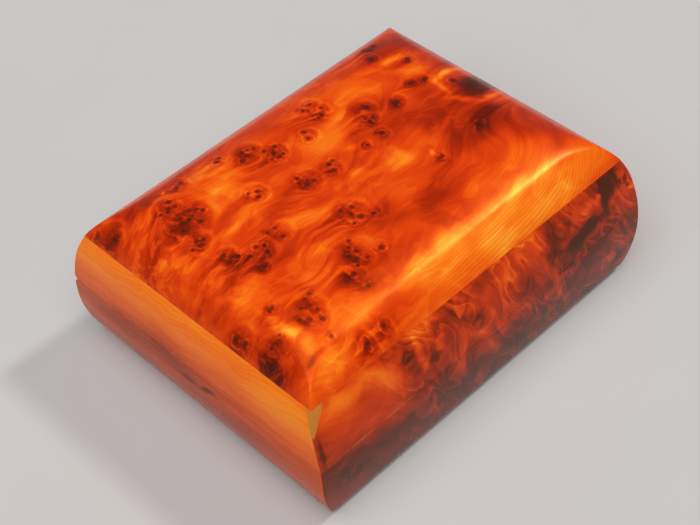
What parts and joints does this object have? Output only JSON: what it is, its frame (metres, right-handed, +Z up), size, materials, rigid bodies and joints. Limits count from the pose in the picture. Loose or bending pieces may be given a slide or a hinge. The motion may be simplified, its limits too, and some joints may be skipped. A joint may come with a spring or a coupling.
{
  "type": "keepsake box",
  "caption": "Pillow-shaped wooden keepsake box with curved mitred sides, a thick domed burl top board and a hinged lift-up lid.",
  "frame": {"origin": "on the table under the middle of the closed box", "axes": "+X along the long front side, +Y towards the back where the hinges are, +Z up"},
  "size_m": [0.165, 0.1306, 0.0675],
  "materials": {
    "burl": "gloss lacquered root burl",
    "plain_wood": "gloss lacquered straight grain",
    "pale_wood": "gloss lacquered pale patch",
    "bottom_wood": "satin, thin board",
    "hinge_brass": "polished",
    "pin_steel": "plain wire"
  },
  "bodies": {
    "root": {"base_front_board": "burl", "base_back_board": "burl", "base_left_board": "plain_wood", "base_right_board": "plain_wood", "bottom_panel": "bottom_wood", "left_hinge_base_leaf": "hinge_brass", "right_hinge_base_leaf": "hinge_brass", "left_hinge_pin": "pin_steel", "right_hinge_pin": "pin_steel", "base_hinge_screws": "hinge_brass"},
    "lid": {"top_panel": "burl", "lid_front_board": "burl", "lid_back_board": "burl", "lid_left_board": "plain_wood", "lid_right_board": "plain_wood", "corner_patch": "pale_wood", "left_hinge_lid_leaf": "hinge_brass", "right_hinge_lid_leaf": "hinge_brass", "lid_hinge_screws": "hinge_brass"}
  },
  "joints": [
    {"name": "lid_hinge", "type": "hinge", "parent": "root", "child": "lid", "pos_m": [0, 0.06312, 0.03105], "axis": [-1, 0, 0], "range_deg": [0, 95]}
  ]
}
